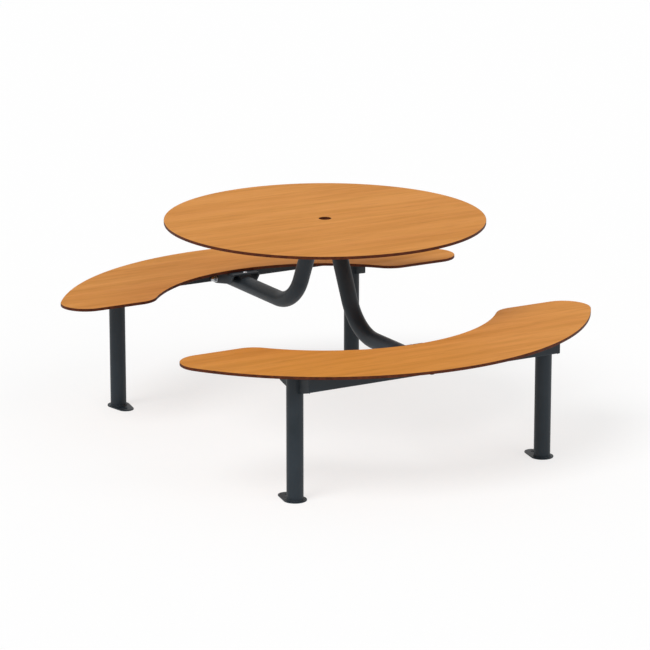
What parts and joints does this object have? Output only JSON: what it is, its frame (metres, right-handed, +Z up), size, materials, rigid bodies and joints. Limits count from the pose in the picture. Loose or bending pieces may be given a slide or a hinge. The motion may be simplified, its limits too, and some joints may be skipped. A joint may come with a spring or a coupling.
{
  "type": "round table with attached benches",
  "caption": "Round outdoor table on bent tube arms, with a curved bench on tube legs attached at either side.",
  "frame": {"origin": "on the ground, under the middle of the tabletop", "axes": "+Z up along the table's axis; the long way of each bench lies along X; the front bench is at -Y and the back bench at +Y"},
  "size_m": [1.5672, 1.8216, 0.755],
  "materials": {
    "board": "satin compact laminate with a light wood decor and a dark core",
    "steel": "fine-textured anthracite powder coat",
    "zinc": "bright zinc-plated fasteners",
    "rubber": "black moulded rubber"
  },
  "bodies": {
    "root": {"tabletop": "board", "hub_plate": "steel", "hub_screws": "zinc", "seat_front": "board", "seat_back": "board", "seat_screws_front": "zinc", "seat_screws_back": "zinc", "leg_front_left": "steel", "leg_front_right": "steel", "leg_back_left": "steel", "leg_back_right": "steel", "foot_plate_front_left": "steel", "foot_plate_front_right": "steel", "foot_plate_back_left": "steel", "foot_plate_back_right": "steel", "fin_front_left": "steel", "fin_front_right": "steel", "fin_back_left": "steel", "fin_back_right": "steel", "seat_plate_front_left": "steel", "seat_plate_front_right": "steel", "seat_plate_back_left": "steel", "seat_plate_back_right": "steel", "rail_front": "steel", "rail_back": "steel", "arm_front": "steel", "arm_back": "steel", "arm_plugs": "rubber", "cradle_front": "steel", "cradle_back": "steel", "cradle_bolts": "zinc", "cradle_washers": "zinc", "cradle_dome_nuts": "zinc", "cradle_spacers": "steel", "saddle_pads": "rubber", "saddle_screws": "zinc"}
  },
  "joints": []
}
